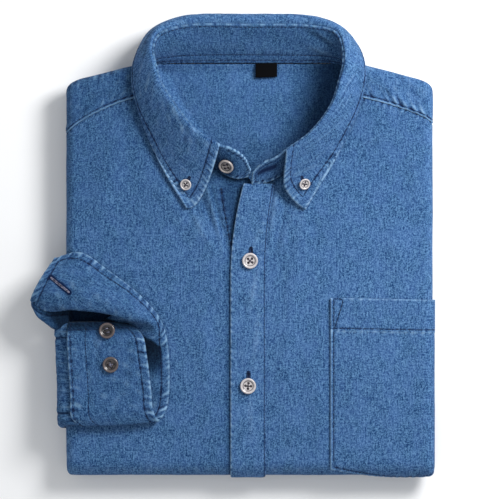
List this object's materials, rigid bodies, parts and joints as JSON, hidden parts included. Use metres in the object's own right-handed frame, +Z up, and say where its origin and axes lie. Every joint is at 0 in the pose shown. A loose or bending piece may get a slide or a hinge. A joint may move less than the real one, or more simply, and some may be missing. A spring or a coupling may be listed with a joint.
{
  "type": "denim shirt",
  "caption": "Blue denim button-down shirt folded flat for a shelf, front up, with one cuff turned over the front, a standing collar, a breast pocket and pearl buttons.",
  "frame": {"origin": "on the flat underside, below the middle of the folded body", "axes": "+X to the shirt's left (the pocket side), +Y towards the collar, +Z up out of the front"},
  "size_m": [0.2913, 0.3358, 0.0458],
  "materials": {
    "denim": "washed fine denim, matt",
    "denim_inside": "inside of the denim, matt",
    "pearl": "pearl white, satin gloss",
    "smoke": "smoke grey, satin gloss",
    "tape": "black woven tape"
  },
  "bodies": {
    "root": {"folded_layers": "denim_inside", "front_right": "denim", "front_left": "denim", "front_placket": "denim", "yoke_right": "denim", "yoke_left": "denim", "yoke_inside": "denim_inside", "collar_stand": "denim_inside", "collar_leaf": "denim", "chest_pocket": "denim", "sleeve": "denim", "sleeve_slit": "denim_inside", "cuff": "denim", "neck_label": "tape", "button_neck": "pearl", "button_collar_right": "pearl", "button_collar_left": "pearl", "button_front_1": "pearl", "button_front_2": "pearl", "button_cuff_1": "smoke", "button_cuff_2": "smoke"}
  },
  "joints": []
}
